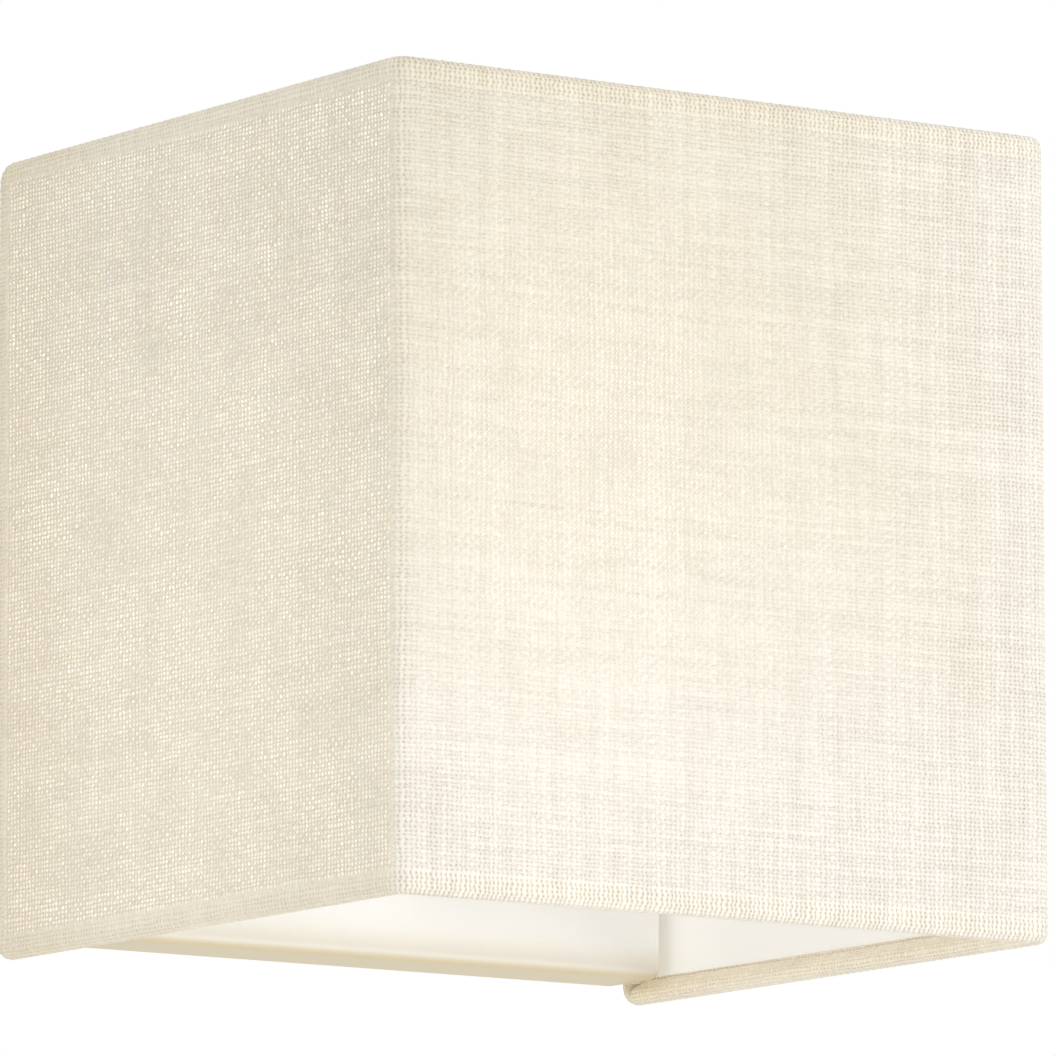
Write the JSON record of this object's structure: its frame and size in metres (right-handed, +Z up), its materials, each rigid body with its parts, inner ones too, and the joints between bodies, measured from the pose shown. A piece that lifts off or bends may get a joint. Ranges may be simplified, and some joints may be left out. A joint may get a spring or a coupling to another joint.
{
  "type": "wall light",
  "caption": "Box-shaped fabric shade, open above, below and behind, hung on a shallow steel back pan with an upright screw-cap lamp inside.",
  "frame": {"origin": "on the wall, at the middle of the shade's width and height", "axes": "+Z up, +X to the right of someone facing the light, -Y out of the wall into the room"},
  "size_m": [0.175, 0.16, 0.18],
  "materials": {
    "linen": "cream slub linen, plain weave",
    "liner": "smooth translucent white sheet",
    "white_steel": "satin powder coat",
    "zinc_steel": "bright zinc plate",
    "nickel_brass": "satin nickel on brass",
    "brass": "plain",
    "porcelain": "white glaze",
    "opal": "opal, satin",
    "lamp_plastic": "white moulded",
    "board": "white lacquer on aluminium",
    "black_glass": "fused glass ring",
    "polyamide": "natural",
    "brown_sleeve": "smooth sleeve",
    "blue_sleeve": "smooth sleeve",
    "earth_sleeve": "green with a yellow stripe",
    "rubber": "soft, pale"
  },
  "bodies": {
    "wall_fitting": {"back_pan": "white_steel", "wall_strap": "zinc_steel", "pan_screws": "white_steel", "shade_studs": "zinc_steel", "holder_bracket": "white_steel", "bracket_screws": "zinc_steel", "bracket_nuts": "zinc_steel", "holder_body": "porcelain", "holder_shell": "nickel_brass", "holder_contact": "brass", "holder_screws": "zinc_steel", "terminal_block": "polyamide", "terminal_tubes": "brass", "terminal_screws": "zinc_steel", "block_screws": "zinc_steel", "live_lead": "brown_sleeve", "neutral_lead": "blue_sleeve", "earth_lead": "earth_sleeve", "grommet": "rubber", "earth_ring": "zinc_steel", "earth_stud": "zinc_steel", "earth_nut": "zinc_steel"},
    "shade": {"shade_cloth": "linen", "shade_liner": "liner", "liner_lap": "liner", "hem_wire": "white_steel", "front_upright_left": "white_steel", "front_upright_right": "white_steel", "fitter_bar": "white_steel"},
    "lamp_tip": {"lamp_contact": "zinc_steel"},
    "lamp": {"lamp_insulator": "black_glass", "lamp_cap": "nickel_brass", "lamp_neck": "lamp_plastic", "lamp_board": "board", "lamp_globe": "opal"},
    "washer_left": {"thumb_washer_left": "zinc_steel"},
    "nut_left": {"thumb_nut_left": "nickel_brass"},
    "washer_right": {"thumb_washer_right": "zinc_steel"},
    "nut_right": {"thumb_nut_right": "nickel_brass"}
  },
  "joints": [
    {"name": "shade_lift", "type": "slide", "parent": "wall_fitting", "child": "shade", "axis": [0, 0, 1], "range_m": [0, 0.19]},
    {"name": "lamp_rise", "type": "slide", "parent": "wall_fitting", "child": "lamp_tip", "axis": [0, 0, 1], "range_m": [0, 0.01099]},
    {"name": "lamp_turn", "type": "hinge", "parent": "lamp_tip", "child": "lamp", "pos_m": [0, -0.062, -0.03], "axis": [0, 0, 1], "range_deg": [0, 1080]},
    {"name": "washer_left_travel", "type": "slide", "parent": "wall_fitting", "child": "washer_left", "axis": [0, -1, 0], "range_m": [0, 0.0035]},
    {"name": "nut_left_turn", "type": "hinge", "parent": "washer_left", "child": "nut_left", "pos_m": [-0.07, -0.022, 0.03], "axis": [0, -1, 0], "range_deg": [0, 1811]},
    {"name": "washer_right_travel", "type": "slide", "parent": "wall_fitting", "child": "washer_right", "axis": [0, -1, 0], "range_m": [0, 0.0035]},
    {"name": "nut_right_turn", "type": "hinge", "parent": "washer_right", "child": "nut_right", "pos_m": [0.07, -0.022, 0.03], "axis": [0, -1, 0], "range_deg": [0, 1811]}
  ],
  "couplings": [
    {"joint": "lamp_rise", "follows": "lamp_turn", "m_per_rad": 0.00057757},
    {"joint": "nut_left_turn", "follows": "washer_left_travel", "rad_per_m": 8976},
    {"joint": "nut_right_turn", "follows": "washer_right_travel", "rad_per_m": 8976}
  ]
}
